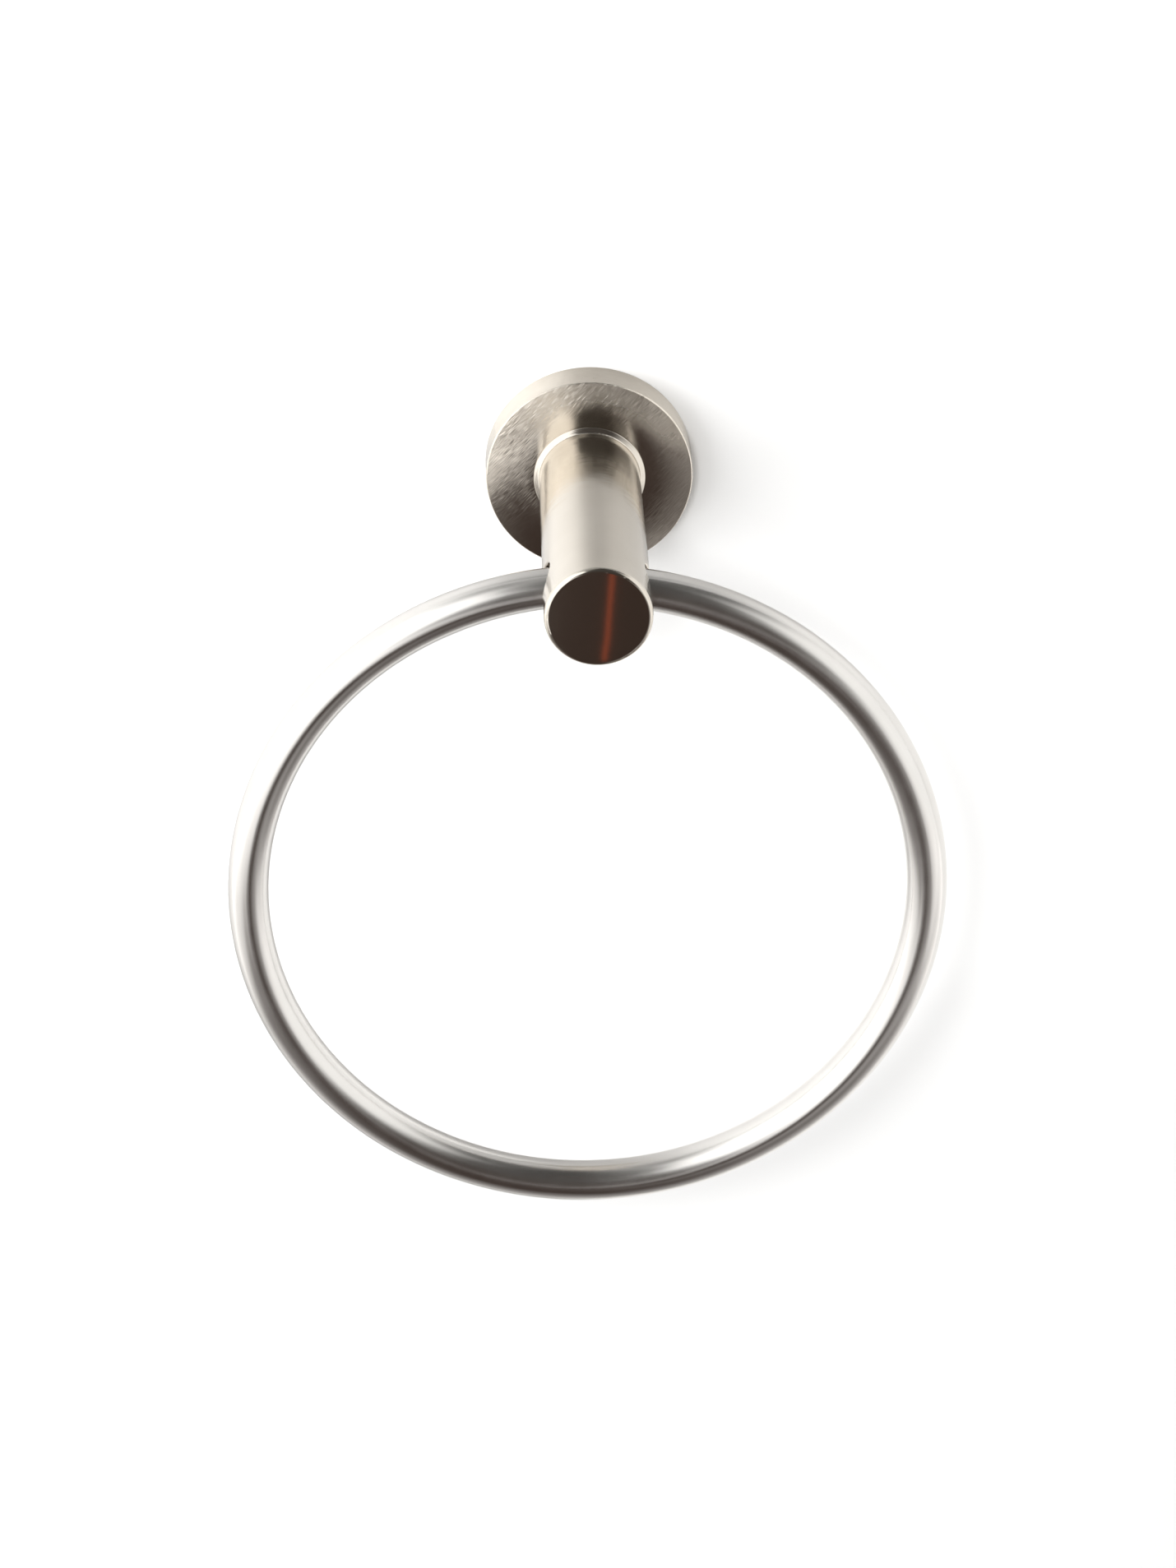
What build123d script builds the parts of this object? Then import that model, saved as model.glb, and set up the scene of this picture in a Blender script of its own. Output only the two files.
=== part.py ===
from build123d import *
import os
from math import sqrt

# Towel ring: a round flange hides a wall bracket, a turned post stands out of the flange, and a ring of
# bent rod hangs in a cross-hole near the post's front, where it swings to and fro.
# Millimetres, +Z up. +Y points into the wall, so the front faces -Y.
# The origin is on the wall, behind the middle of the flange.

# Ring: a rod bent to a circle, with its butt seam hidden inside the post
ring_outer_diameter = 178.0
ring_rod_diameter = 10.0
ring_seam_gap = 0.4
ring_clearance = 0.3

# Post: turned in one piece with its coned collar and spigot, a little wider at the front than at the collar
post_reach = 86.5
post_base_diameter = 25.2
post_front_diameter = 26.6
post_edge_radius = 1.1
collar_step = 1.3
collar_land = 0.5
collar_cone = 0.6
collar_edge_radius = 0.2
collar_foot_radius = 0.4
ring_setback = 16.2
mouth_edge_radius = 0.4

# Spigot: the post's tail, with two flats that keep the cross-hole level in the flange
spigot_wall = 2.0
spigot_flat_depth = 0.8
spigot_shortfall = 0.3
seat_clearance = 0.1

# Flange: a turned cup, open to the wall, with a face that is domed a little round the post's flat seat
flange_diameter = 51.5
flange_depth = 8.8
flange_crown = 0.7
flange_face_thickness = 2.6
flange_rim_thickness = 2.2
flange_edge_radius = 0.35
flange_corner_radius = 0.6

# Screw and washers that pull the post on to the flange from behind
screw_diameter = 6.0
screw_length = 16.0
screw_tip_chamfer = 0.6
screw_head_overhang = 2.25
screw_head_edge = 0.8
screw_socket_width = 4.0
screw_socket_depth = 2.0
screw_socket_border = 0.7
screw_wall_gap = 0.6
screw_bore_spare = 2.0
thread_clearance = 0.05
clamp_washer_thickness = 1.0
clamp_washer_overlap = 2.85
lock_washer_thickness = 1.3
lock_washer_width = 2.2
lock_washer_split = 0.8
lock_washer_split_angle = 25.0
washer_clearance = 0.2

# Wall bracket: a cast disc inside the flange, undercut all round so that the grub screw can bite behind its rim
bracket_rim_clearance = 0.35
bracket_face_clearance = 0.8
bracket_land = 0.8
bracket_base = 1.8
bracket_bore_clearance = 1.0
bracket_edge_radius = 0.3
wall_screw_hole_diameter = 5.0
wall_screw_sink_diameter = 9.2

# Grub screw: cone point, sunk in the underside of the flange
grub_diameter = 4.0
grub_recess = 0.4
grub_tip_radius = 0.4
grub_socket_width = 2.0
grub_socket_depth = 1.6
grub_gap = 0.05

# Reach is the distance out from the wall, and a turned profile is drawn as reach against radius
out_of_wall = Axis((0, 0, 0), (0, -1, 0))
turning_plane = Plane(origin=(0, 0, 0), x_dir=(0, -1, 0), z_dir=(-1, 0, 0))

# Flange and bracket: the bracket fills the cup, and its rim is undercut at 45 degrees
flange_radius = flange_diameter / 2
cup_radius = flange_radius - flange_rim_thickness
cup_depth = flange_depth - flange_face_thickness
seat_reach = flange_depth + flange_crown
bracket_thickness = cup_depth - bracket_face_clearance
bracket_rim_radius = cup_radius - bracket_rim_clearance
undercut = bracket_thickness - bracket_land - bracket_base
bracket_base_radius = bracket_rim_radius - undercut

# Screw stack, from the wall outwards: head, lock washer, clamp washer, then the flange's face
screw_radius = screw_diameter / 2
screw_head_radius = screw_radius + screw_head_overhang
clamp_washer_reach = cup_depth - clamp_washer_thickness
lock_washer_reach = clamp_washer_reach - lock_washer_thickness
screw_tip_reach = lock_washer_reach + screw_length
screw_socket_corner = screw_socket_width / sqrt(3)
washer_bore_radius = screw_radius + washer_clearance

# Post: the collar sits on the flange's seat, and the spigot ends just short of the face's inner side
post_bore_radius = screw_radius + thread_clearance
post_bore_end = screw_tip_reach + screw_bore_spare
spigot_radius = post_bore_radius + spigot_wall
spigot_flats = 2 * (spigot_radius - spigot_flat_depth)
spigot_end = cup_depth + spigot_shortfall
post_base_radius = post_base_diameter / 2
post_front_radius = post_front_diameter / 2
collar_radius = post_base_radius + collar_step
collar_land_end = seat_reach + collar_land
collar_front = collar_land_end + collar_cone
clamp_washer_radius = spigot_radius + seat_clearance + clamp_washer_overlap
bracket_bore_radius = clamp_washer_radius + bracket_bore_clearance
wall_screw_spacing = bracket_bore_radius + bracket_base_radius

# Ring: its curve rises a little inside the straight cross-hole, half above the hole's axis and half below,
# so the same gap is left when the ring turns about that axis
ring_reach = post_reach - ring_setback
ring_rod_radius = ring_rod_diameter / 2
ring_radius = ring_outer_diameter / 2 - ring_rod_radius
flare = (post_front_radius - post_base_radius) / (post_reach - collar_front)
post_radius_at_ring = post_base_radius + flare * (ring_reach - collar_front)
arch_rise = ring_radius - sqrt(ring_radius**2 - post_radius_at_ring**2)
ring_crown = arch_rise / 2
cross_hole_radius = ring_rod_radius + ring_crown + ring_clearance

# Grub screw: its cone's flank lies along the bracket's undercut, on the middle of the slope
grub_radius = grub_diameter / 2
grub_reach = bracket_base + undercut / 2
grub_apex = bracket_base_radius + undercut / 2 + grub_gap
grub_end = flange_radius - grub_recess

os.makedirs("parts", exist_ok=True)


# Wall bracket: undercut disc with an open middle and two countersunk screw holes
with BuildPart() as wall_bracket:
    with BuildSketch(turning_plane):
        with BuildLine():
            FilletPolyline(
                (0, bracket_bore_radius),
                (0, bracket_base_radius),
                (bracket_base, bracket_base_radius),
                (bracket_base + undercut, bracket_rim_radius),
                (bracket_thickness, bracket_rim_radius),
                (bracket_thickness, bracket_bore_radius),
                radius=(0, 0, 0, 0, bracket_edge_radius, bracket_edge_radius),
                close=True,
            )
        make_face()
    revolve(axis=out_of_wall)
    with Locations(Plane.XZ.offset(bracket_thickness)):
        with GridLocations(wall_screw_spacing, 0, 2, 1):
            CounterSinkHole(wall_screw_hole_diameter / 2, wall_screw_sink_diameter / 2)
wall_bracket.part.label = "wall_bracket"
export_step(wall_bracket.part, "parts/wall_bracket.step")


# Flange: cup with a flatted hole for the spigot and a tapped hole underneath for the grub screw
with BuildPart() as flange:
    with BuildSketch(turning_plane) as section:
        with BuildLine():
            outline = Polyline(
                (flange_depth, flange_radius),
                (0, flange_radius),
                (0, cup_radius),
                (cup_depth, cup_radius),
                (cup_depth, 0),
                (seat_reach, 0),
                (seat_reach, collar_radius),
            )
            TangentArc(outline @ 1, outline @ 0, tangent=(0, 1))
        make_face()
        fillet(section.vertices().sort_by_distance((flange_depth, flange_radius))[0], flange_edge_radius)
        fillet(section.vertices().sort_by_distance((cup_depth, cup_radius))[0], flange_corner_radius)
    revolve(axis=out_of_wall)
    with BuildSketch(Plane.XZ.offset(cup_depth)):
        Circle(spigot_radius + seat_clearance)
        Rectangle(flange_diameter, spigot_flats + 2 * seat_clearance, mode=Mode.INTERSECT)
    extrude(amount=seat_reach - cup_depth, mode=Mode.SUBTRACT)
    with BuildSketch(Plane(origin=(0, -grub_reach, 0), x_dir=(1, 0, 0), z_dir=(0, 0, -1))):
        Circle(grub_radius + thread_clearance)
    extrude(amount=flange_radius, mode=Mode.SUBTRACT)
flange.part.label = "flange"
export_step(flange.part, "parts/flange.step")


# Post: turned body, then the flats, the screw bore from behind and the cross-hole for the ring
with BuildPart() as post:
    with BuildSketch(turning_plane):
        with BuildLine():
            FilletPolyline(
                (seat_reach, 0),
                (seat_reach, collar_radius),
                (collar_land_end, collar_radius),
                (collar_front, post_base_radius),
                (post_reach, post_front_radius),
                (post_reach, 0),
                radius=(0, 0, collar_edge_radius, collar_foot_radius, post_edge_radius, 0),
                close=True,
            )
        make_face()
    revolve(axis=out_of_wall)
    with BuildSketch(Plane.XZ.offset(spigot_end)):
        Circle(spigot_radius)
        Rectangle(2 * spigot_radius, spigot_flats, mode=Mode.INTERSECT)
    extrude(amount=seat_reach - spigot_end)
    with BuildSketch(turning_plane):
        with BuildLine():
            Polyline(
                (spigot_end, 0),
                (spigot_end, post_bore_radius),
                (post_bore_end, post_bore_radius),
                (post_bore_end + post_bore_radius / sqrt(3), 0),
                close=True,
            )
        make_face()
    revolve(axis=out_of_wall, mode=Mode.SUBTRACT)
    with BuildSketch(Plane(origin=(0, -ring_reach, 0), x_dir=(0, 1, 0), z_dir=(1, 0, 0))):
        Circle(cross_hole_radius)
    extrude(amount=post_front_diameter, both=True, mode=Mode.SUBTRACT)
    mouths = post.edges(Select.LAST).filter_by(GeomType.LINE, reverse=True)
    fillet(mouths, mouth_edge_radius)
post.part.label = "post"
export_step(post.part, "parts/post.step")


# Clamp washer: flat, and wide enough to bridge the spigot's hole
with BuildPart() as clamp_washer:
    with BuildSketch(Plane.XZ.offset(clamp_washer_reach)):
        Circle(clamp_washer_radius)
        Circle(washer_bore_radius, mode=Mode.SUBTRACT)
    extrude(amount=clamp_washer_thickness)
clamp_washer.part.label = "clamp_washer"
export_step(clamp_washer.part, "parts/clamp_washer.step")


# Lock washer: split ring, pressed flat under the screw's head
with BuildPart() as lock_washer:
    with BuildSketch(Plane.XZ.offset(lock_washer_reach)):
        Circle(washer_bore_radius + lock_washer_width)
        Circle(washer_bore_radius, mode=Mode.SUBTRACT)
        with Locations((0, washer_bore_radius + lock_washer_width / 2)):
            Rectangle(
                lock_washer_split,
                2 * lock_washer_width,
                rotation=lock_washer_split_angle,
                mode=Mode.SUBTRACT,
            )
    extrude(amount=lock_washer_thickness)
lock_washer.part.label = "lock_washer"
export_step(lock_washer.part, "parts/lock_washer.step")


# Post screw: domed head with a hexagon socket, driven from the wall side
with BuildPart() as post_screw:
    with BuildSketch(turning_plane):
        with BuildLine():
            tip = Polyline(
                (lock_washer_reach - screw_head_edge, screw_head_radius),
                (lock_washer_reach, screw_head_radius),
                (lock_washer_reach, screw_radius),
                (screw_tip_reach - screw_tip_chamfer, screw_radius),
                (screw_tip_reach, screw_radius - screw_tip_chamfer),
                (screw_tip_reach, 0),
                (screw_wall_gap, 0),
                (screw_wall_gap, screw_socket_corner + screw_socket_border),
            )
            TangentArc(tip @ 0, tip @ 1, tangent=(-1, 0))
        make_face()
    revolve(axis=out_of_wall)
    with BuildSketch(Plane.XZ.offset(screw_wall_gap)):
        RegularPolygon(screw_socket_width / 2, 6, major_radius=False)
    extrude(amount=screw_socket_depth, mode=Mode.SUBTRACT)
post_screw.part.label = "post_screw"
export_step(post_screw.part, "parts/post_screw.step")


# Grub screw: cone point up, hexagon socket down
with BuildPart() as grub_screw:
    with BuildSketch(Plane(origin=(0, -grub_reach, 0), x_dir=(1, 0, 0), z_dir=(0, -1, 0))):
        with BuildLine():
            Polyline(
                (0, -grub_apex - grub_tip_radius),
                (grub_tip_radius, -grub_apex - grub_tip_radius),
                (grub_radius, -grub_apex - grub_radius),
                (grub_radius, -grub_end),
                (0, -grub_end),
                close=True,
            )
        make_face()
    revolve(axis=Axis((0, -grub_reach, 0), (0, 0, 1)))
    with BuildSketch(Plane(origin=(0, -grub_reach, -grub_end), x_dir=(1, 0, 0), z_dir=(0, 0, 1))):
        RegularPolygon(grub_socket_width / 2, 6, major_radius=False)
    extrude(amount=grub_socket_depth, mode=Mode.SUBTRACT)
grub_screw.part.label = "grub_screw"
export_step(grub_screw.part, "parts/grub_screw.step")


# Ring: the rod's round section swept about the ring's own axis, with the seam cut at its crown
with BuildPart() as ring:
    with BuildSketch(Plane(origin=(0, -ring_reach, ring_crown), x_dir=(0, 1, 0), z_dir=(1, 0, 0))):
        Circle(ring_rod_radius)
    revolve(axis=Axis((0, -ring_reach, ring_crown - ring_radius), (0, 1, 0)))
    with Locations((0, -ring_reach, ring_crown)):
        Box(ring_seam_gap, 2 * ring_rod_diameter, 2 * ring_rod_diameter, mode=Mode.SUBTRACT)
ring.part.label = "ring"
export_step(ring.part, "parts/ring.step")
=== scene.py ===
"""Looks of the wall-mounted towel ring: its ring, metal finishes, stage, light and camera."""

import logging
import math
from dataclasses import dataclass
from enum import Enum
from typing import Callable, Union

import bmesh
import bpy
from mathutils import Matrix, Vector


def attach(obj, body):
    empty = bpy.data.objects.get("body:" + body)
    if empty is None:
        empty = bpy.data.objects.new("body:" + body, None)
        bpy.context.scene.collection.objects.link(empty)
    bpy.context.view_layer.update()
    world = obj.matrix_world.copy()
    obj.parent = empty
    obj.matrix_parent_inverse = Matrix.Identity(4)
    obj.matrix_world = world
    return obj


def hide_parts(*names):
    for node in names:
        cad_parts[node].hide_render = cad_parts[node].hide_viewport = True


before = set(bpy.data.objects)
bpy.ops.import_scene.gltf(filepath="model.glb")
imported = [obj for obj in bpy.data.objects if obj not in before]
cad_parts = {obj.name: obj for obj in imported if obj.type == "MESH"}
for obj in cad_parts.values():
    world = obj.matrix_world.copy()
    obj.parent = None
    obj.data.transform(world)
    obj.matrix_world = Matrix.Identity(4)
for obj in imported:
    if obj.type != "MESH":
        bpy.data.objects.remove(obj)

LOG = logging.getLogger("towel_ring")
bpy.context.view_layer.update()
PHOTO_SIZE = (1430, 1907)
MM = 0.001
DEGREES_PER_RADIAN = 180.0 / math.pi
MERGE_DISTANCE = 1e-7

FLANGE_RADIUS = 25.75 * MM
FLANGE_DEPTH = 8.8 * MM
POST_REACH = 86.5 * MM
POST_AXIS = (0.0, 1.0, 0.0)

Term = Union["Signal", float, tuple]
Sockets = dict[Union[str, int], object]
Settings = dict[str, object]
Colour = tuple[float, float, float]
Place = tuple[float, float, float]
Span = tuple[float, float]


class Signal:
    """A node socket that takes part in Python arithmetic; each operation adds a Math or Vector Math node."""

    def __init__(self, graph: "Graph", socket: bpy.types.NodeSocket) -> None:
        """Keeps the socket and the graph it belongs to."""
        self.graph = graph
        self.socket = socket

    @property
    def is_vector(self) -> bool:
        """Whether the socket carries three numbers."""
        return self.socket.type in {"VECTOR", "RGBA"}

    def out(self, name: str) -> "Signal":
        """Another output of the same node."""
        return Signal(self.graph, self.socket.node.outputs[name])

    def _join(self, operation: str, first: Term, second: Term) -> "Signal":
        """Adds the node that joins two terms.

        Args:
            operation: The Math node's operation.
            first: The first term.
            second: The second term.

        Returns:
            The joined value.
        """
        wide = any(isinstance(t, tuple) or (isinstance(t, Signal) and t.is_vector) for t in (first, second))
        kind = "ShaderNodeVectorMath" if wide else "ShaderNodeMath"
        return self.graph.add(kind, {"operation": operation}, {0: first, 1: second})

    def __add__(self, other: Term) -> "Signal":
        """self + other."""
        return self._join("ADD", self, other)

    def __radd__(self, other: Term) -> "Signal":
        """other + self."""
        return self._join("ADD", other, self)

    def __sub__(self, other: Term) -> "Signal":
        """self - other."""
        return self._join("SUBTRACT", self, other)

    def __rsub__(self, other: Term) -> "Signal":
        """other - self."""
        return self._join("SUBTRACT", other, self)

    def __mul__(self, other: Term) -> "Signal":
        """self * other."""
        return self._join("MULTIPLY", self, other)

    def __rmul__(self, other: Term) -> "Signal":
        """other * self."""
        return self._join("MULTIPLY", other, self)

    def __truediv__(self, other: Term) -> "Signal":
        """self / other."""
        return self._join("DIVIDE", self, other)

    def __rtruediv__(self, other: Term) -> "Signal":
        """other / self."""
        return self._join("DIVIDE", other, self)

    def rises(self, low: float, high: float) -> "Signal":
        """A smooth step from 0 at low to 1 at high."""
        return self.graph.add(
            "ShaderNodeMapRange",
            {"interpolation_type": "SMOOTHSTEP"},
            {"Value": self, "From Min": low, "From Max": high},
        )

    def falls(self, low: float, high: float) -> "Signal":
        """A smooth step from 1 at low to 0 at high."""
        return 1 - self.rises(low, high)

    def passes(self, soft: float) -> "Signal":
        """A smooth step from 0 to 1 about 0, soft wide on either side."""
        return self.rises(-soft, soft)

    def within(self, low: float, high: float, soft: float) -> "Signal":
        """1 between low and high, with a smooth step, soft wide in all, at either end."""
        half = soft / 2
        return self.rises(low - half, low + half) * self.falls(high - half, high + half)

    def between(self, first: float, second: float) -> "Signal":
        """A value that goes from first to second as this goes from 0 to 1."""
        return self * (second - first) + first


class Graph:
    """A node tree, with one way to add nodes to it."""

    def __init__(self, tree: bpy.types.NodeTree) -> None:
        """Empties the tree."""
        self.tree = tree
        tree.nodes.clear()

    def add(
        self,
        kind: str,
        settings: Settings | None = None,
        sockets: Sockets | None = None,
        output: str | int = 0,
    ) -> Signal:
        """Adds a node.

        Args:
            kind: The node's Blender type.
            settings: The node's properties, set before its sockets.
            sockets: Values or signals for the inputs, by name or number.
            output: The output to return.

        Returns:
            The output as a signal, or a bare signal for a node without outputs.
        """
        node = self.tree.nodes.new(kind)
        for name, value in (settings or {}).items():
            setattr(node, name, value)
        for key, value in (sockets or {}).items():
            self._feed(node.inputs[key], value)
        return Signal(self, node.outputs[output] if len(node.outputs) else node.inputs[0])

    def _feed(self, socket: bpy.types.NodeSocket, value: object) -> None:
        """Links a signal to an input, or sets its value.

        Args:
            socket: The input.
            value: A signal, a number, or a tuple for a vector or colour.
        """
        if isinstance(value, Signal):
            self.tree.links.new(value.socket, socket)
        elif socket.type == "RGBA" and isinstance(value, tuple) and len(value) == 3:
            socket.default_value = (*value, 1.0)
        elif socket.type == "VECTOR" and isinstance(value, (int, float)):
            socket.default_value = (value, value, value)
        else:
            socket.default_value = value

    def maths(self, operation: str, *terms: Term) -> Signal:
        """A Math node for an operation that has no Python operator."""
        return self.add("ShaderNodeMath", {"operation": operation}, dict(enumerate(terms)))

    def mix(self, share: Term, first: Term, second: Term) -> Signal:
        """A colour that goes from first to second as share goes from 0 to 1."""
        return self.add("ShaderNodeMix", {"data_type": "RGBA"}, {0: share, 6: first, 7: second}, output=2)

    def noise(self, place: Signal, scale: float = 1.0, detail: float = 2.0) -> Signal:
        """Smooth noise from 0 to 1 at a place."""
        return self.add("ShaderNodeTexNoise", None, {"Vector": place, "Scale": scale, "Detail": detail})

    def vector(self, x: Term, y: Term, z: Term) -> Signal:
        """A vector from its three parts."""
        return self.add("ShaderNodeCombineXYZ", None, {0: x, 1: y, 2: z})

    def split(self, vector: Signal) -> tuple[Signal, Signal, Signal]:
        """A vector's three parts."""
        x = self.add("ShaderNodeSeparateXYZ", None, {0: vector})
        return x, x.out("Y"), x.out("Z")

    def cross(self, first: Term, second: Term) -> Signal:
        """The cross product of two vectors."""
        return self.add("ShaderNodeVectorMath", {"operation": "CROSS_PRODUCT"}, {0: first, 1: second})

    def unit(self, vector: Signal) -> Signal:
        """The vector made one long."""
        return self.add("ShaderNodeVectorMath", {"operation": "NORMALIZE"}, {0: vector})

    def length(self, vector: Signal) -> Signal:
        """The vector's length."""
        return self.add("ShaderNodeVectorMath", {"operation": "LENGTH"}, {0: vector}, output="Value")

    def place(self) -> Signal:
        """A point's place in its object, which is its place in the frame at rest."""
        return self.add("ShaderNodeTexCoord", output="Object")


def new_material(name: str) -> tuple[bpy.types.Material, Graph]:
    """Makes a material with an empty graph.

    Args:
        name: The material's name.

    Returns:
        The material and its graph.
    """
    material = bpy.data.materials.new(name)
    material.use_nodes = True
    return material, Graph(material.node_tree)


class Grain(Enum):
    """The way that a metal surface was worked, which sets where its fine lines run."""

    TURNED = "rings round the post's axis"
    DRAWN = "lines along the ring's rod"
    BRUSHED = "straight slanting strokes on the flange's face, rings elsewhere"
    PLAIN = "no direction"


@dataclass(frozen=True)
class BrushStrokes:
    """The slanting strokes on the flange's face, with a few longer nicks among them."""

    slant: float = math.radians(48.0)
    nick_length: float = 3.0
    nick_width: float = 2.5
    nick_depth: float = 1.2
    nick_layer: float = 7.0
    face_span: Span = (FLANGE_DEPTH - 0.3 * MM, FLANGE_DEPTH - 0.1 * MM)
    rim_slope: float = 0.35

    def way(self) -> Place:
        """The direction of the strokes."""
        return math.cos(self.slant), 0.0, math.sin(self.slant)

    def lines(self, graph: Graph, x: Signal, z: Signal, pitch: float, stretch: float) -> Signal:
        """The strokes as noise.

        Args:
            graph: The material's graph.
            x: Place to the right.
            z: Height.
            pitch: Distance between strokes.
            stretch: Length of a stroke.

        Returns:
            Noise from 0 to 1, and a little beyond at a nick.
        """
        along = x * math.cos(self.slant) + z * math.sin(self.slant)
        across = z * math.cos(self.slant) - x * math.sin(self.slant)
        strokes = graph.noise(graph.vector(along / stretch, across / pitch, 0.0), detail=3.0)
        nick_along = along / (self.nick_length * stretch)
        nick_across = across / (self.nick_width * pitch)
        nicks = graph.noise(graph.vector(nick_along, nick_across, self.nick_layer)) * 2 - 1
        return strokes + nicks * nicks * nicks * self.nick_depth


@dataclass(frozen=True)
class MetalFinish:
    """A bare or plated metal, with fine worked lines in its roughness and normal.

    All of the surface is worked, unless worked_from gives the distance from the post's axis, and
    worked_above the height, over which the work begins.
    """

    name: str
    tint: Colour
    shade: Colour
    roughness: float
    roughness_spread: float
    grain: Grain
    slope: float
    line_pitch: float
    line_stretch: float = 1.0
    cloud_size: float = 9.0 * MM
    cloud_share: float = 0.6
    shade_span: Span = (0.25, 0.75)
    worked_from: Span = (-2.0, -1.0)
    worked_above: Span = (-2.0, -1.0)
    # Factor for a paler base colour where worked: painted light that makes the upper outer part of the
    # flange read brighter.
    painted_light_where_worked: float = 1.0
    unworked_roughness: float = 0.38
    unworked_slope: float = 0.12
    polished_beyond: float = 1.0
    polish: float = 0.06
    polish_fade: float = 0.2 * MM
    polished_slope: float = 0.05
    plain_lean: Place = (0.3, 0.5, 0.8)
    strokes: BrushStrokes = BrushStrokes()

    def material(self) -> bpy.types.Material:
        """Builds the finish.

        Returns:
            The material.
        """
        material, graph = new_material(self.name)
        place = graph.place()
        x, y, z = graph.split(place)
        normal = graph.add("ShaderNodeNewGeometry", output="Normal")
        lines, lean = self._lines(graph, place, normal)
        clouds = graph.noise(place, 1.0 / self.cloud_size, detail=3.0)
        polished = (0.0 - y).rises(self.polished_beyond - self.polish_fade, self.polished_beyond)
        off_axis = graph.length(graph.vector(x, 0.0, z))
        worked = off_axis.rises(*self.worked_from) * z.rises(*self.worked_above)
        satin = (lines + clouds - 1) * self.roughness_spread + self.roughness
        satin = satin * worked.between(self.unworked_roughness, 1.0)
        patches = clouds * self.cloud_share + lines * (1 - self.cloud_share)
        colour = graph.mix(patches.rises(*self.shade_span), self.shade, self.tint)
        steepness = polished.between(1.0, self.polished_slope) * worked.between(self.unworked_slope, 1.0)
        tilt = lean * ((lines - 0.5) * steepness * self.slope)
        shader = graph.add(
            "ShaderNodeBsdfPrincipled",
            None,
            {
                # Where worked, the base colour is made paler: painted light on the upper outer part of the
                # flange.
                "Base Color": colour * worked.between(1.0, self.painted_light_where_worked),
                "Metallic": 1.0,
                "Roughness": satin + (self.polish - satin) * polished,
                "Normal": graph.unit(normal + tilt),
            },
        )
        graph.add("ShaderNodeOutputMaterial", None, {"Surface": shader})
        return material

    def _lines(self, graph: Graph, place: Signal, normal: Signal) -> tuple[Signal, Signal]:
        """The worked lines and the direction across them.

        Args:
            graph: The material's graph.
            place: Object coordinates.
            normal: The surface normal.

        Returns:
            Line noise about 0.5, and a vector along the surface that crosses the lines.
        """
        if self.grain is Grain.PLAIN:
            lines = graph.noise(place, 1.0 / self.line_pitch, detail=4.0)
            return lines, graph.unit(graph.cross(normal, self.plain_lean))
        if self.grain is Grain.DRAWN:
            return self._drawn_lines(graph, place, normal)
        x, y, z = graph.split(place)
        spoke = graph.vector(x, 0.0, z)
        radius = graph.length(spoke)
        round_way = graph.cross(spoke, POST_AXIS)
        spread = spoke / radius * (FLANGE_RADIUS / self.line_stretch)
        rings = graph.noise(spread + graph.vector(0.0, (radius + y) / self.line_pitch, 0.0))
        if self.grain is Grain.TURNED:
            return rings, graph.unit(graph.cross(round_way, normal))
        strokes = self.strokes.lines(graph, x, z, self.line_pitch, self.line_stretch)
        face = (0.0 - y).rises(*self.strokes.face_span)
        way = graph.mix(face, round_way, self.strokes.way())
        lean = graph.unit(graph.cross(way, normal)) * face.between(self.strokes.rim_slope, 1.0)
        return rings + (strokes - rings) * face, lean

    def _drawn_lines(self, graph: Graph, place: Signal, normal: Signal) -> tuple[Signal, Signal]:
        """Lines along the ring's rod, which turn with the ring.

        Args:
            graph: The material's graph.
            place: Object coordinates.
            normal: The surface normal.

        Returns:
            Line noise from 0 to 1, and a unit vector along the surface that crosses the lines.
        """
        x, y, z = graph.split(place)
        hub = SwingRing.centre()
        spoke = graph.vector(x, 0.0, z - hub.z)
        along = graph.maths("ARCTAN2", x, hub.z - z) * (SwingRing.path_radius() / self.line_stretch)
        radius = graph.length(spoke)
        lines = graph.noise(graph.vector(along, radius / self.line_pitch, y / self.line_pitch))
        way = graph.add(
            "ShaderNodeVectorTransform",
            {"vector_type": "VECTOR", "convert_from": "OBJECT", "convert_to": "WORLD"},
            {0: graph.unit(graph.cross(spoke, POST_AXIS))},
        )
        return lines, graph.unit(graph.cross(way, normal))


SATIN_NICKEL = MetalFinish(
    name="satin_nickel",
    tint=(0.71, 0.66, 0.59),
    shade=(0.67, 0.62, 0.55),
    roughness=0.13,
    roughness_spread=0.06,
    grain=Grain.TURNED,
    slope=0.22,
    line_pitch=0.09 * MM,
    line_stretch=12 * MM,
    polished_beyond=POST_REACH - 0.05 * MM,
)
BRUSHED_NICKEL = MetalFinish(
    name="brushed_nickel",
    tint=(0.71, 0.66, 0.59),
    shade=(0.62, 0.57, 0.50),
    roughness=0.30,
    roughness_spread=0.10,
    grain=Grain.BRUSHED,
    slope=0.90,
    line_pitch=0.16 * MM,
    line_stretch=2.6 * MM,
    worked_from=(16 * MM, 22.5 * MM),
    worked_above=(1 * MM, 14 * MM),
    # Painted light: the upper outer part of the flange is made paler by this factor.
    painted_light_where_worked=1.22,
)
SATIN_STEEL = MetalFinish(
    name="satin_steel",
    tint=(0.755, 0.735, 0.712),
    shade=(0.715, 0.695, 0.672),
    roughness=0.22,
    roughness_spread=0.06,
    grain=Grain.DRAWN,
    slope=0.08,
    line_pitch=0.12 * MM,
    line_stretch=14 * MM,
)
CAST_ZINC = MetalFinish(
    name="cast_zinc",
    tint=(0.50, 0.51, 0.52),
    shade=(0.40, 0.41, 0.42),
    roughness=0.46,
    roughness_spread=0.16,
    grain=Grain.PLAIN,
    slope=0.22,
    line_pitch=0.35 * MM,
)
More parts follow.
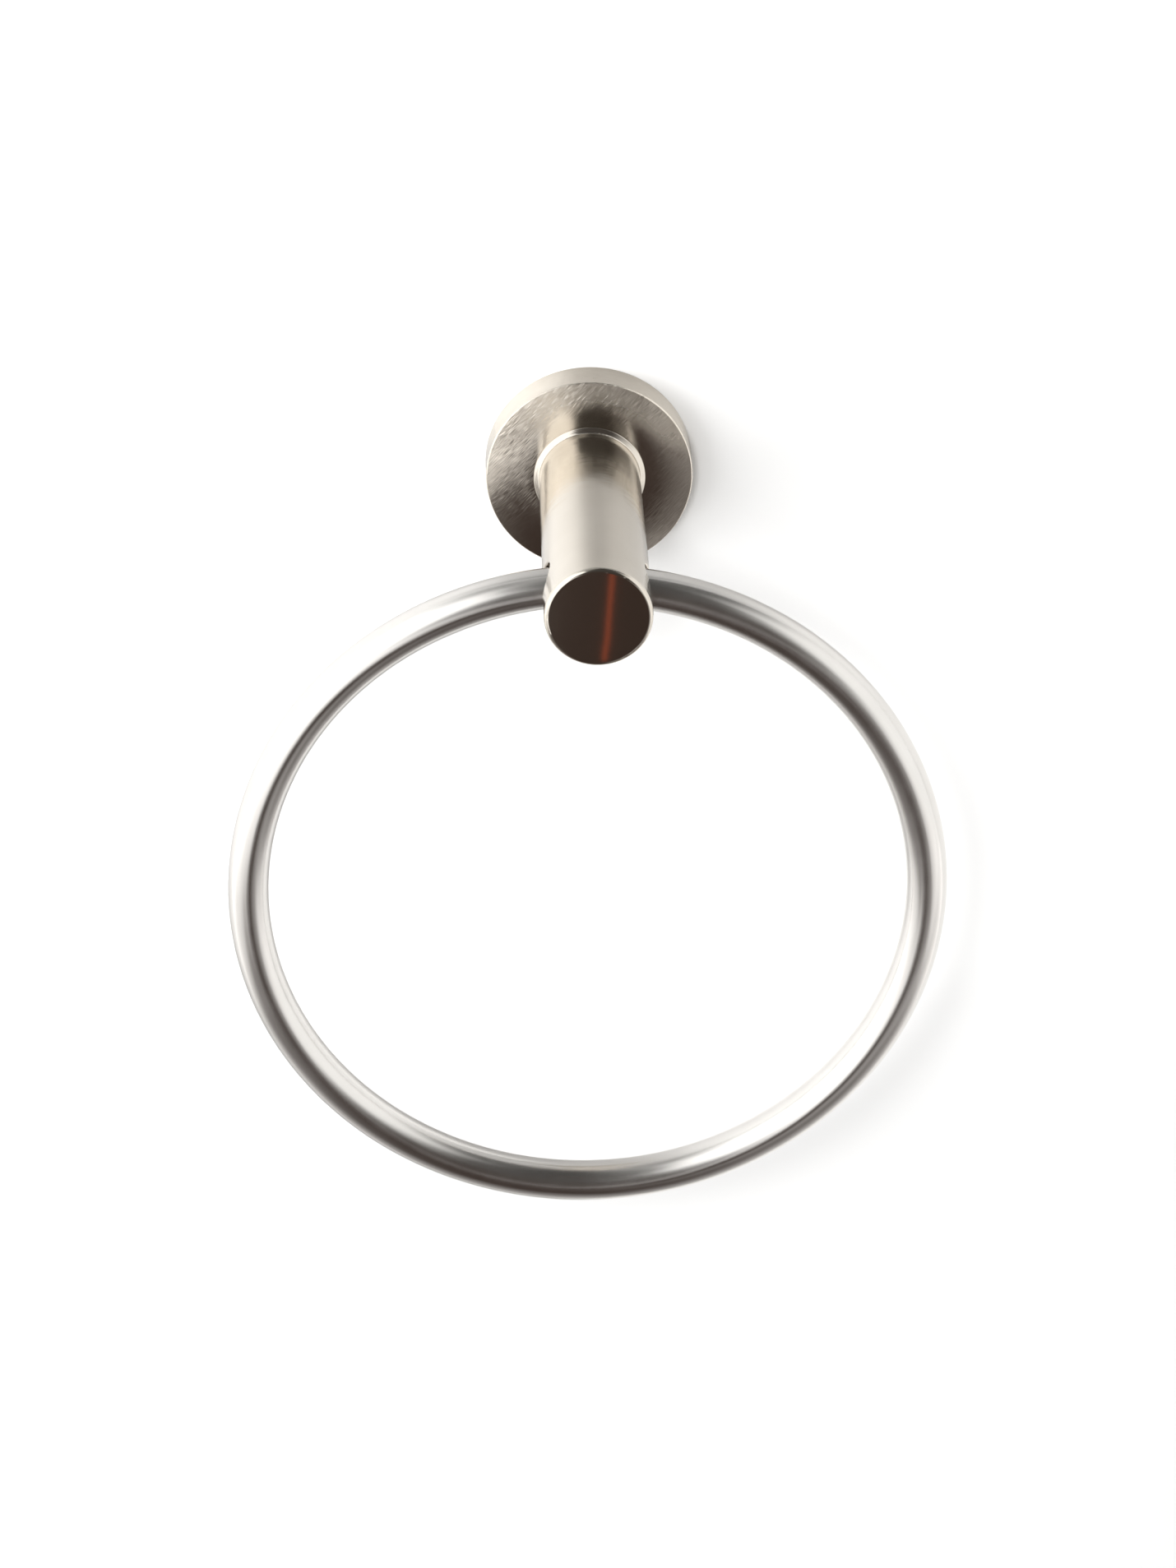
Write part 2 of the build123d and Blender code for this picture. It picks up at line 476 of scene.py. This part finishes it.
PLATED_STEEL = MetalFinish(
    name="plated_steel",
    tint=(0.66, 0.67, 0.68),
    shade=(0.60, 0.61, 0.60),
    roughness=0.30,
    roughness_spread=0.10,
    grain=Grain.TURNED,
    slope=0.06,
    line_pitch=0.10 * MM,
    line_stretch=6 * MM,
)
SPRING_STEEL = MetalFinish(
    name="spring_steel",
    tint=(0.42, 0.42, 0.43),
    shade=(0.34, 0.34, 0.35),
    roughness=0.36,
    roughness_spread=0.12,
    grain=Grain.TURNED,
    slope=0.08,
    line_pitch=0.12 * MM,
    line_stretch=6 * MM,
)
BLACK_STEEL = MetalFinish(
    name="black_steel",
    tint=(0.075, 0.078, 0.085),
    shade=(0.05, 0.052, 0.058),
    roughness=0.42,
    roughness_spread=0.12,
    grain=Grain.PLAIN,
    slope=0.08,
    line_pitch=0.2 * MM,
)


@dataclass
class SwingRing:
    """The ring: a rod bent to a circle, with its butt seam at the crown, inside the post."""

    outer_diameter: float = 178.0 * MM
    rod_diameter: float = 10.0 * MM
    seam_gap: float = 0.4 * MM
    reach: float = 70.3 * MM
    crown: float = 0.518 * MM
    path_steps: int = 512
    rod_steps: int = 56
    crease_angle: float = 0.7
    inputs: tuple[tuple[str, str], ...] = (
        ("Path Radius", "NodeSocketFloat"),
        ("Rod Radius", "NodeSocketFloat"),
        ("Seam Angle", "NodeSocketFloat"),
        ("Path Steps", "NodeSocketInt"),
        ("Rod Steps", "NodeSocketInt"),
        ("Centre", "NodeSocketVector"),
        ("Finish", "NodeSocketMaterial"),
    )

    @classmethod
    def path_radius(cls) -> float:
        """Radius of the rod's middle line."""
        return (cls.outer_diameter - cls.rod_diameter) / 2

    @classmethod
    def centre(cls) -> Vector:
        """The middle of the ring."""
        return Vector((0.0, -cls.reach, cls.crown - cls.path_radius()))

    def build(self) -> bpy.types.Object:
        """Sweeps the rod and hangs it on the ring's body.

        Returns:
            The ring.
        """
        ring = swept_piece(
            "hanging_ring",
            self._tree(),
            {
                "Path Radius": self.path_radius(),
                "Rod Radius": self.rod_diameter / 2,
                "Seam Angle": self.seam_gap / self.path_radius(),
                "Path Steps": self.path_steps,
                "Rod Steps": self.rod_steps,
                "Centre": self.centre(),
                "Finish": SATIN_STEEL.material(),
            },
        )
        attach(ring, "ring")
        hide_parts("ring")
        return ring

    def _tree(self) -> bpy.types.NodeTree:
        """The node tree that sweeps a round rod along an open circle.

        Returns:
            The tree.
        """
        tree = bpy.data.node_groups.new("bent_rod", "GeometryNodeTree")
        graph = Graph(tree)
        for name, kind in self.inputs:
            tree.interface.new_socket(name, in_out="INPUT", socket_type=kind)
        tree.interface.new_socket("Geometry", in_out="OUTPUT", socket_type="NodeSocketGeometry")
        given = graph.add("NodeGroupInput")
        seam = given.out("Seam Angle")
        path = graph.add(
            "GeometryNodeCurveArc",
            {"mode": "RADIUS"},
            {
                "Resolution": given.out("Path Steps"),
                "Radius": given.out("Path Radius"),
                "Start Angle": seam * 0.5 + math.pi / 2,
                "Sweep Angle": math.tau - seam,
            },
        )
        rod = graph.add(
            "GeometryNodeCurvePrimitiveCircle",
            None,
            {"Resolution": given.out("Rod Steps"), "Radius": given.out("Rod Radius")},
        )
        swept = graph.add(
            "GeometryNodeCurveToMesh",
            None,
            {"Curve": path, "Profile Curve": rod, "Fill Caps": True},
        )
        hung = graph.add(
            "GeometryNodeTransform",
            None,
            {"Geometry": swept, "Translation": given.out("Centre"), "Rotation": (math.pi / 2, 0.0, 0.0)},
        )
        smooth = graph.add(
            "GeometryNodeSetShadeSmooth",
            {"domain": "FACE"},
            {"Geometry": hung, "Shade Smooth": True},
        )
        corner = graph.add("GeometryNodeInputMeshEdgeAngle", output="Unsigned Angle")
        sharp = graph.add(
            "FunctionNodeCompare",
            {"data_type": "FLOAT", "operation": "GREATER_THAN"},
            {0: corner, 1: self.crease_angle},
        )
        creased = graph.add(
            "GeometryNodeSetShadeSmooth",
            {"domain": "EDGE"},
            {"Geometry": smooth, "Selection": sharp, "Shade Smooth": False},
        )
        real = graph.add("GeometryNodeRealizeInstances", None, {"Geometry": creased})
        dressed = graph.add(
            "GeometryNodeSetMaterial",
            None,
            {"Geometry": real, "Material": given.out("Finish")},
        )
        graph.add("NodeGroupOutput", None, {"Geometry": dressed})
        return tree


def swept_piece(name: str, tree: bpy.types.NodeTree, sizes: dict[str, object]) -> bpy.types.Object:
    """Runs a node tree and keeps its result as a plain mesh.

    Args:
        name: The piece's name.
        tree: The node tree.
        sizes: A value for each of the tree's inputs.

    Returns:
        The piece, without modifiers and with its faces outwards.
    """
    piece = bpy.data.objects.new(name, bpy.data.meshes.new(name))
    bpy.context.scene.collection.objects.link(piece)
    modifier = piece.modifiers.new("shape", "NODES")
    modifier.node_group = tree
    for item in tree.interface.items_tree:
        if item.in_out == "INPUT":
            modifier[item.identifier] = sizes[item.name]
    evaluated = piece.evaluated_get(bpy.context.evaluated_depsgraph_get())
    mesh = bpy.data.meshes.new_from_object(evaluated)
    piece.modifiers.clear()
    piece.data = mesh
    shape = bmesh.new()
    shape.from_mesh(mesh)
    bmesh.ops.remove_doubles(shape, verts=shape.verts, dist=MERGE_DISTANCE)
    bmesh.ops.recalc_face_normals(shape, faces=shape.faces)
    shape.to_mesh(mesh)
    shape.free()
    return piece


@dataclass
class Mount:
    """The fixed pieces, which keep their CAD shapes and get their finishes."""

    finishes: tuple[tuple[str, MetalFinish], ...] = (
        ("post", SATIN_NICKEL),
        ("flange", BRUSHED_NICKEL),
        ("wall_bracket", CAST_ZINC),
        ("clamp_washer", PLATED_STEEL),
        ("post_screw", PLATED_STEEL),
        ("lock_washer", SPRING_STEEL),
        ("grub_screw", BLACK_STEEL),
    )

    def dress(self) -> None:
        """Gives each node its finish."""
        made: dict[str, bpy.types.Material] = {}
        for node, finish in self.finishes:
            if finish.name not in made:
                made[finish.name] = finish.material()
            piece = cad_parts[node]
            piece.data.materials.clear()
            piece.data.materials.append(made[finish.name])
            LOG.info("dressed %s in %s", node, finish.name)


def show_front(graph: Graph, shader: Signal) -> None:
    """Ends a material with a shader that shows only on the front of its faces.

    Args:
        graph: The material's graph.
        shader: The shader.
    """
    clear = graph.add("ShaderNodeBsdfTransparent")
    behind = graph.add("ShaderNodeNewGeometry", output="Backfacing")
    shown = graph.add("ShaderNodeMixShader", None, {0: behind, 1: shader, 2: clear})
    graph.add("ShaderNodeOutputMaterial", None, {"Surface": shown})


def stage_surface(
    name: str, points: list[Place], faces: list[tuple[int, ...]], material: bpy.types.Material
) -> bpy.types.Object:
    """Adds a stage surface that gives no light to matt surfaces.

    Args:
        name: The surface's name.
        points: Its corners.
        faces: Its faces.
        material: Its material.

    Returns:
        The surface.
    """
    mesh = bpy.data.meshes.new(name)
    mesh.from_pydata(points, [], faces)
    mesh.materials.append(material)
    piece = bpy.data.objects.new(name, mesh)
    piece.visible_diffuse = False
    bpy.context.scene.collection.objects.link(piece)
    return piece


@dataclass(frozen=True)
class StagePaint:
    """The paint of the wall or floor, which the camera and the metal see in different colours. On the wall
    both hold painted light and shade: the camera sees it darker towards the bottom (painted shade), and the
    metal mirrors it dimmer than the camera sees it, with painted light to the right and painted shade high
    above.
    """

    # The colour the camera sees low down is a painted shade, darker than the colour above it.
    seen_low_painted_shade: Colour
    seen: Colour
    # The colours the metal mirrors are painted light and shade: dimmer than the camera sees, brighter to the
    # right, dark high above.
    mirrored: Colour
    mirrored_right_painted_light: Colour
    mirrored_above_painted_shade: Colour = (0.25, 0.25, 0.245)
    sheen: float = 0.0
    sheen_colour: Colour = (1.0, 1.0, 1.0)
    sheen_roughness: float = 0.3
    painted_shade_span: Span = (-0.20, -0.13)
    right_span: Span = (0.0, 30 * MM)
    above_span: Span = (60 * MM, 300 * MM)
    above_width: Span = (80 * MM, 220 * MM)
    above_dulling: float = 0.7
    open_span: Span = (-10 * MM, 30 * MM)
    open_height: Span = (-70 * MM, -20 * MM)
    open_dulling: float = 0.75

    def material(self, name: str) -> bpy.types.Material:
        """Builds the paint.

        Args:
            name: The material's name.

        Returns:
            The material.
        """
        material, graph = new_material(name)
        direct = graph.add("ShaderNodeLightPath", output="Is Camera Ray")
        x, _, z = graph.split(graph.place())
        # Masks for painted light and shade in the mirrored wall: dark high above, and less lacquer at the
        # open lower right so that the mirrored wall reads brighter there.
        above = z.rises(*self.above_span) * graph.maths("ABSOLUTE", x).falls(*self.above_width)
        open_side = x.rises(*self.open_span) * z.falls(*self.open_height)
        mirrored = graph.mix(x.rises(*self.right_span), self.mirrored, self.mirrored_right_painted_light)
        mirrored = graph.mix(above, mirrored, self.mirrored_above_painted_shade)
        # Painted shade: the camera sees the wall darker towards the bottom.
        seen = graph.mix(z.rises(*self.painted_shade_span), self.seen_low_painted_shade, self.seen)
        paint = graph.add("ShaderNodeBsdfDiffuse", None, {"Color": graph.mix(direct, mirrored, seen)})
        lacquer = graph.add(
            "ShaderNodeBsdfGlossy",
            None,
            {"Color": self.sheen_colour, "Roughness": self.sheen_roughness},
        )
        # The lacquer is dulled high above and at the open lower right, which paints shade and light into the
        # mirrored wall.
        gloss = (1 - above * self.above_dulling) * (1 - open_side * self.open_dulling) * self.sheen
        coated = graph.add("ShaderNodeMixShader", None, {0: (1 - direct) * gloss, 1: paint, 2: lacquer})
        show_front(graph, coated)
        return material


WALL_PAINT = StagePaint(
    # The wall's colours hold painted light and shade: darker low down for the camera, and for the metal
    # dimmer, brighter to the right and dark high above.
    seen_low_painted_shade=(0.865, 0.865, 0.865),
    seen=(0.96, 0.96, 0.96),
    mirrored=(0.73, 0.73, 0.725),
    mirrored_right_painted_light=(1.0, 1.0, 0.99),
    sheen=0.54,
)
FLOOR_PAINT = StagePaint(
    # The floor has no painted shade: its low colour is the same as the rest.
    seen_low_painted_shade=(0.82, 0.81, 0.79),
    seen=(0.82, 0.81, 0.79),
    mirrored=(0.5, 0.49, 0.47),
    mirrored_right_painted_light=(0.5, 0.49, 0.47),
)


@dataclass(frozen=True)
class Ramp:
    """A smooth step in the painted reflection light on the glowing card, between two distances in metres."""

    start: float
    end: float
    amount: float

    def up(self, distance: Signal) -> Signal:
        """Grows from 0 to the amount."""
        return distance.rises(self.start, self.end) * self.amount

    def down(self, distance: Signal) -> Signal:
        """Sinks from the amount to 0."""
        return distance.falls(self.start, self.end) * self.amount


def mirror_card(
    name: str, points: list[Place], faces: list[tuple[int, ...]], light: Callable[[Graph], Term]
) -> None:
    """Adds a glowing card that only the metal mirrors, from its front; its glow paints reflections in the
    metal.

    Args:
        name: The card's name.
        points: Its corners.
        faces: Its faces.
        light: Gives the colour of its light, in its material's graph.
    """
    material, graph = new_material(name)
    show_front(graph, graph.add("ShaderNodeEmission", None, {"Color": light(graph), "Strength": 1.0}))
    card = stage_surface(name, points, faces, material)
    card.visible_camera = False
    card.visible_shadow = False


@dataclass
class ReflectionCard:
    """A glowing card under the ring that only the metal mirrors: painted reflections, dark in the middle,
    bright at both sides and in front at the left.
    """

    height: float = -0.43
    near: float = -1.5
    half_width: float = 1.2
    # The card's dark glow, a painted dark reflection under the ring.
    dark: Colour = (0.052, 0.036, 0.030)
    full: Colour = (2.0, 2.0, 1.98)
    full_level: float = 2.0
    left_glow: tuple[Ramp, ...] = (Ramp(0.03, 0.28, 0.17), Ramp(0.30, 0.46, 0.74), Ramp(0.40, 1.05, 0.8))
    far: Span = (0.62, 0.82)
    right_near: Ramp = Ramp(0.02, 0.16, 0.16)
    right_far: Ramp = Ramp(0.08, 0.26, 0.16)
    right_foot: Ramp = Ramp(0.20, 0.32, 0.09)
    right_lean: Ramp = Ramp(0.45, 1.6, 0.3)
    right_glow: tuple[Ramp, ...] = (Ramp(0.31, 0.47, 0.58), Ramp(0.45, 0.90, 0.3))
    right_patch: Ramp = Ramp(0.03, 0.10, 0.18)
    patch_reach: tuple[float, float, float] = (0.40, 0.60, 0.12)
    wall_glow: tuple[Ramp, ...] = (Ramp(0.10, 0.27, 0.22), Ramp(0.0, 0.14, 0.35))
    front_begins: Span = (0.80, 1.0)
    front_bends: tuple[Ramp, ...] = (Ramp(0.03, 0.12, 0.03), Ramp(0.10, 0.25, 0.20))
    front_lean: Ramp = Ramp(0.95, 1.5, 0.12)
    front_soft: float = 0.02
    front_level: float = 0.7
    front_ahead: Ramp = Ramp(0.9, 1.2, 0.4)
    front_left: Ramp = Ramp(0.10, 0.30, 0.5)

    def build(self) -> None:
        """Lays the glowing card."""
        near, w, z = self.near, self.half_width, self.height
        corners = [(-w, near, z), (w, near, z), (w, 0.0, z), (-w, 0.0, z)]
        # The card glows and paints the reflections below the ring in the metal.
        mirror_card("reflection_card", corners, [(0, 1, 2, 3)], self._light)

    def _light(self, graph: Graph) -> Signal:
        """The card's glow, which paints the reflections in the metal under the ring.

        Args:
            graph: The card's material.

        Returns:
            The light's colour.
        """
        right, y, _ = graph.split(graph.place())
        left = 0.0 - right
        ahead = 0.0 - y
        far = ahead.rises(*self.far)
        aside = right - self.right_lean.up(ahead)
        level = self.right_near.up(right) * (1 - far) + self.right_far.up(right) * far
        level = level + self.right_foot.up(right)
        level = level + self.right_patch.up(right) * ahead.within(*self.patch_reach)
        for ramp in self.left_glow:
            level = level + ramp.up(left)
        for ramp in self.right_glow:
            level = level + ramp.up(aside)
        for ramp in self.wall_glow:
            level = level + ramp.down(ahead)
        start = ahead
        for ramp in self.front_bends:
            start = start + ramp.up(left)
        front = start.rises(*self.front_begins) * (left - self.front_lean.up(ahead)).passes(self.front_soft)
        lamp = self.front_ahead.up(ahead) + self.front_left.up(left) + self.front_level
        level = level + (graph.maths("MAXIMUM", level, lamp) - level) * front
        return graph.mix(level / self.full_level, (0.0, 0.0, 0.0), self.full) + self.dark


@dataclass
class WarmStrip:
    """A thin warm glowing strip before the post's end, which only the metal mirrors: it paints a warm streak
    reflection on the post's end.
    """

    near: float = -186.5 * MM
    width: float = 1.4 * MM
    line: tuple[tuple[float, float], ...] = (
        (7.5 * MM, -38.0 * MM),
        (7.0 * MM, -49.5 * MM),
        (6.7 * MM, -57.0 * MM),
        (6.0 * MM, -63.5 * MM),
    )
    # The strip's glow: a painted warm streak reflection on the post's end.
    level: Colour = (0.30, 0.075, 0.04)

    def build(self) -> None:
        """Hangs the strip."""
        h = self.width / 2
        points = [(x + side * h, self.near, z) for x, z in self.line for side in (-1, 1)]
        faces = [(2 * k, 2 * k + 1, 2 * k + 3, 2 * k + 2) for k in range(len(self.line) - 1)]
        mirror_card("warm_strip", points, faces, lambda graph: self.level)


@dataclass
class Surroundings:
    """What the metal mirrors beyond the stage: a wide light at each side, a dim room and a dark front.

    Spans and edges are in degrees, round from the front towards the right, or up from level.
    """

    low: Span = (-17.0, 2.0)
    high: Span = (25.0, 62.0)
    front: tuple[Colour, Colour] = ((0.055, 0.034, 0.026), (0.07, 0.067, 0.063))
    front_rise: Span = (-60.0, 60.0)
    front_right: float = 38.0
    front_right_low: float = 26.0
    front_right_soft: float = 6.0
    front_left: Span = (2.0, 42.0)
    dim: Colour = (0.40, 0.40, 0.39)
    dim_high: Colour = (0.12, 0.118, 0.115)
    dim_high_side: Span = (-10.0, 30.0)
    under: Span = (-44.0, -24.0)
    under_left: tuple[Colour, Colour] = ((0.08, 0.075, 0.072), (0.42, 0.42, 0.41))
    under_left_side: Span = (28.0, 88.0)
    under_right: tuple[Colour, Colour] = ((0.09, 0.085, 0.08), (0.62, 0.61, 0.59))
    under_right_side: Span = (8.0, 66.0)
    under_middle: float = 4.0
    straight_down: Colour = (0.30, 0.295, 0.285)
    straight_down_rise: Span = (-85.0, -62.0)
    skirt: tuple[Colour, Colour] = ((0.32, 0.32, 0.31), (1.2, 1.2, 1.18))
    skirt_rise: Span = (-85.0, -15.0)
    skirt_top: Colour = (0.5, 0.5, 0.49)
    skirt_top_rise: Span = (30.0, 80.0)
    skirt_side: Span = (-105.0, -65.0)
    left_light: Colour = (1.75, 1.75, 1.74)
    left_edge: float = -15.0
    left_edge_low: float = 11.0
    left_edge_high: float = -22.0
    left_edge_soft: float = 4.0
    left_end: Span = (-158.0, -142.0)
    left_foot: float = -40.0
    left_foot_lift: float = 14.0
    left_foot_side: Span = (-62.0, 0.0)
    left_foot_soft: float = 4.5
    left_top: Span = (44.0, 66.0)
    right_light: Colour = (1.2, 1.2, 1.18)
    right_edge: float = 33.0
    right_edge_low: float = -8.0
    right_edge_high: float = 14.0
    right_edge_rise: Span = (10.0, 45.0)
    right_edge_soft: float = 13.0
    right_end: Span = (125.0, 155.0)
    right_band: tuple[float, float, float] = (-34.0, 43.0, 24.0)
    backdrop: Colour = (0.93, 0.93, 0.925)

    def build(self) -> None:
        """Makes the surroundings, with a plain pale backdrop for the camera."""
        world = bpy.data.worlds.new("studio")
        world.use_nodes = True
        graph = Graph(world.node_tree)
        x, y, z = graph.split(graph.add("ShaderNodeTexCoord", output="Generated"))
        side = graph.maths("ARCTAN2", x, 0.0 - y) * DEGREES_PER_RADIAN
        rise = graph.maths("ARCSINE", z) * DEGREES_PER_RADIAN
        low = rise.falls(*self.low)
        high = rise.rises(*self.high)
        light = self._room(graph, side, rise, low, high)
        light = graph.mix(self._left_share(side, rise, low, high), light, self.left_light)
        light = graph.mix(self._right_share(side, rise, low), light, self.right_light)
        lit = graph.add("ShaderNodeBackground", None, {"Color": light, "Strength": 1.0})
        plain = graph.add("ShaderNodeBackground", None, {"Color": self.backdrop, "Strength": 1.0})
        direct = graph.add("ShaderNodeLightPath", output="Is Camera Ray")
        shown = graph.add("ShaderNodeMixShader", None, {0: direct, 1: lit, 2: plain})
        graph.add("ShaderNodeOutputWorld", None, {"Surface": shown})
        bpy.context.scene.world = world

    def _room(self, graph: Graph, side: Signal, rise: Signal, low: Signal, high: Signal) -> Signal:
        """The dim room with its dark front.

        Args:
            graph: The world's graph.
            side: Angle round from the front.
            rise: Angle up from level.
            low: 1 low down.
            high: 1 high up.

        Returns:
            The room's colour.
        """
        front = graph.mix(rise.rises(*self.front_rise), *self.front)
        under_left = graph.mix((0.0 - side).rises(*self.under_left_side), *self.under_left)
        under_right = graph.mix(side.rises(*self.under_right_side), *self.under_right)
        under = graph.mix(side.passes(self.under_middle), under_left, under_right)
        under = graph.mix(rise.rises(*self.straight_down_rise), self.straight_down, under)
        dim = graph.mix(rise.falls(*self.under), self.dim, under)
        dim = graph.mix(high * side.rises(*self.dim_high_side), dim, self.dim_high)
        skirt = graph.mix(rise.rises(*self.skirt_rise), *self.skirt)
        skirt = graph.mix(rise.rises(*self.skirt_top_rise), skirt, self.skirt_top)
        dim = graph.mix(side.rises(*self.skirt_side), skirt, dim)
        right_flank = (side - self.front_right + low * self.front_right_low).passes(self.front_right_soft)
        return graph.mix(right_flank + (0.0 - side).rises(*self.front_left), front, dim)

    def _left_share(self, side: Signal, rise: Signal, low: Signal, high: Signal) -> Signal:
        """Where the left light shines.

        Args:
            side: Angle round from the front.
            rise: Angle up from level.
            low: 1 low down.
            high: 1 high up.

        Returns:
            1 inside the light, 0 outside.
        """
        edge = low * self.left_edge_low + high * self.left_edge_high + self.left_edge
        across = (edge - side).passes(self.left_edge_soft) * side.rises(*self.left_end)
        foot = side.rises(*self.left_foot_side) * self.left_foot_lift + self.left_foot
        return across * (rise - foot).passes(self.left_foot_soft) * rise.falls(*self.left_top)

    def _right_share(self, side: Signal, rise: Signal, low: Signal) -> Signal:
        """Where the right light shines.

        Args:
            side: Angle round from the front.
            rise: Angle up from level.
            low: 1 low down.

        Returns:
            1 inside the light, 0 outside.
        """
        edge = low * self.right_edge_low + rise.rises(*self.right_edge_rise) * self.right_edge_high
        across = (side - edge - self.right_edge).passes(self.right_edge_soft) * side.falls(*self.right_end)
        return across * rise.within(*self.right_band)


@dataclass(frozen=True)
class SoftLamp:
    """A soft round lamp that lights the wall and isn't mirrored in the metal."""

    name: str
    place: Place
    diameter: float
    watts: float
    aim: Place = (0.0, 0.0, -0.05)

    def build(self) -> None:
        """Hangs the lamp."""
        lamp = bpy.data.lights.new(self.name, "AREA")
        lamp.shape = "DISK"
        lamp.size = self.diameter
        lamp.energy = self.watts
        holder = bpy.data.objects.new(self.name, lamp)
        holder.location = self.place
        way = Vector(self.aim) - Vector(self.place)
        holder.rotation_euler = way.to_track_quat("-Z", "Y").to_euler()
        holder.visible_glossy = False
        holder.visible_camera = False
        bpy.context.scene.collection.objects.link(holder)


@dataclass
class Studio:
    """White wall, pale floor and soft light round the object."""

    wall_half_width: float = 2.0
    wall_top: float = 2.0
    wall_offset: float = 0.1 * MM
    hole_radius: float = 24.6 * MM
    hole_steps: int = 96
    floor_height: float = -0.45
    floor_half_width: float = 3.0
    lamps: tuple[SoftLamp, ...] = (
        SoftLamp("front_lamp", (-0.21, -1.17, 0.53), diameter=0.20, watts=4.5),
        SoftLamp("side_lamp", (-0.90, -0.75, 0.12), diameter=1.0, watts=9.0),
    )

    def build(self) -> None:
        """Makes the wall, the floor, the cards and the light."""
        self._wall()
        self._floor()
        ReflectionCard().build()
        WarmStrip().build()
        Surroundings().build()
        for lamp in self.lamps:
            lamp.build()

    def _wall(self) -> None:
        """A wall with an opening behind the flange, seen only from its front."""
        count = self.hole_steps
        turns = [math.tau * k / count for k in range(count)]
        rim = [(self.hole_radius * math.cos(a), self.hole_radius * math.sin(a)) for a in turns]
        edge = [self._to_edge(x, z) for x, z in rim]
        points = [(x, self.wall_offset, z) for x, z in rim + edge]
        faces = [(k, count + k, count + (k + 1) % count, (k + 1) % count) for k in range(count)]
        stage_surface("wall", points, faces, WALL_PAINT.material("wall"))

    def _to_edge(self, x: float, z: float) -> tuple[float, float]:
        """Where a line from the middle through a point leaves the wall.

        Args:
            x: The point's place to the right.
            z: The point's height.

        Returns:
            Place to the right and height on the wall's edge.
        """
        tiny = 1e-9
        height = self.wall_top if z > 0 else -self.floor_height
        reach = min(self.wall_half_width / max(abs(x), tiny), height / max(abs(z), tiny))
        return x * reach, z * reach

    def _floor(self) -> None:
        """A plain pale floor below the ring."""
        w, z = self.floor_half_width, self.floor_height
        corners = [(-w, -w, z), (w, -w, z), (w, w, z), (-w, w, z)]
        floor = stage_surface("floor", corners, [(0, 1, 2, 3)], FLOOR_PAINT.material("floor"))
        floor.visible_glossy = False


@dataclass
class PhotoCamera:
    """The camera at the photograph's viewing angle: high, a little to the left and slightly rolled."""

    azimuth: float = 0.0428
    elevation: float = 0.4916
    roll: float = -0.0294
    distance: float = 2.2
    pixels_per_metre: float = 4861.9
    origin_pixel: tuple[float, float] = (715.4533, 559.7158)
    sensor: float = 36.0

    def build(self) -> bpy.types.Object:
        """Places the camera so that the frame's origin falls on its pixel of the photograph.

        Returns:
            The camera.
        """
        ahead = Vector((
            math.sin(self.azimuth) * math.cos(self.elevation),
            math.cos(self.azimuth) * math.cos(self.elevation),
            -math.sin(self.elevation),
        ))
        level = ahead.cross(Vector((0.0, 0.0, 1.0))).normalized()
        plumb = ahead.cross(level)
        right = math.cos(self.roll) * level + math.sin(self.roll) * plumb
        down = math.cos(self.roll) * plumb - math.sin(self.roll) * level
        aside = (self.origin_pixel[0] - PHOTO_SIZE[0] / 2) / self.pixels_per_metre
        below = (self.origin_pixel[1] - PHOTO_SIZE[1] / 2) / self.pixels_per_metre
        place = -(aside * right + below * down + self.distance * ahead)
        data = bpy.data.cameras.new("photo_camera")
        data.sensor_width = self.sensor
        data.lens = self.pixels_per_metre * self.distance * self.sensor / max(PHOTO_SIZE)
        camera = bpy.data.objects.new("photo_camera", data)
        turn = Matrix((right, -down, -ahead)).transposed().to_4x4()
        camera.matrix_world = Matrix.Translation(place) @ turn
        bpy.context.scene.collection.objects.link(camera)
        bpy.context.scene.camera = camera
        return camera


def main() -> None:
    """Builds the camera, the stage and the pieces in order."""
    logging.basicConfig(level=logging.INFO)
    bpy.context.scene.view_settings.view_transform = "Standard"
    camera = PhotoCamera().build()
    LOG.info("placed %s", camera.name)
    Studio().build()
    ring = SwingRing().build()
    LOG.info("made %s with %d faces", ring.name, len(ring.data.polygons))
    Mount().dress()


if __name__ == "__main__":
    main()
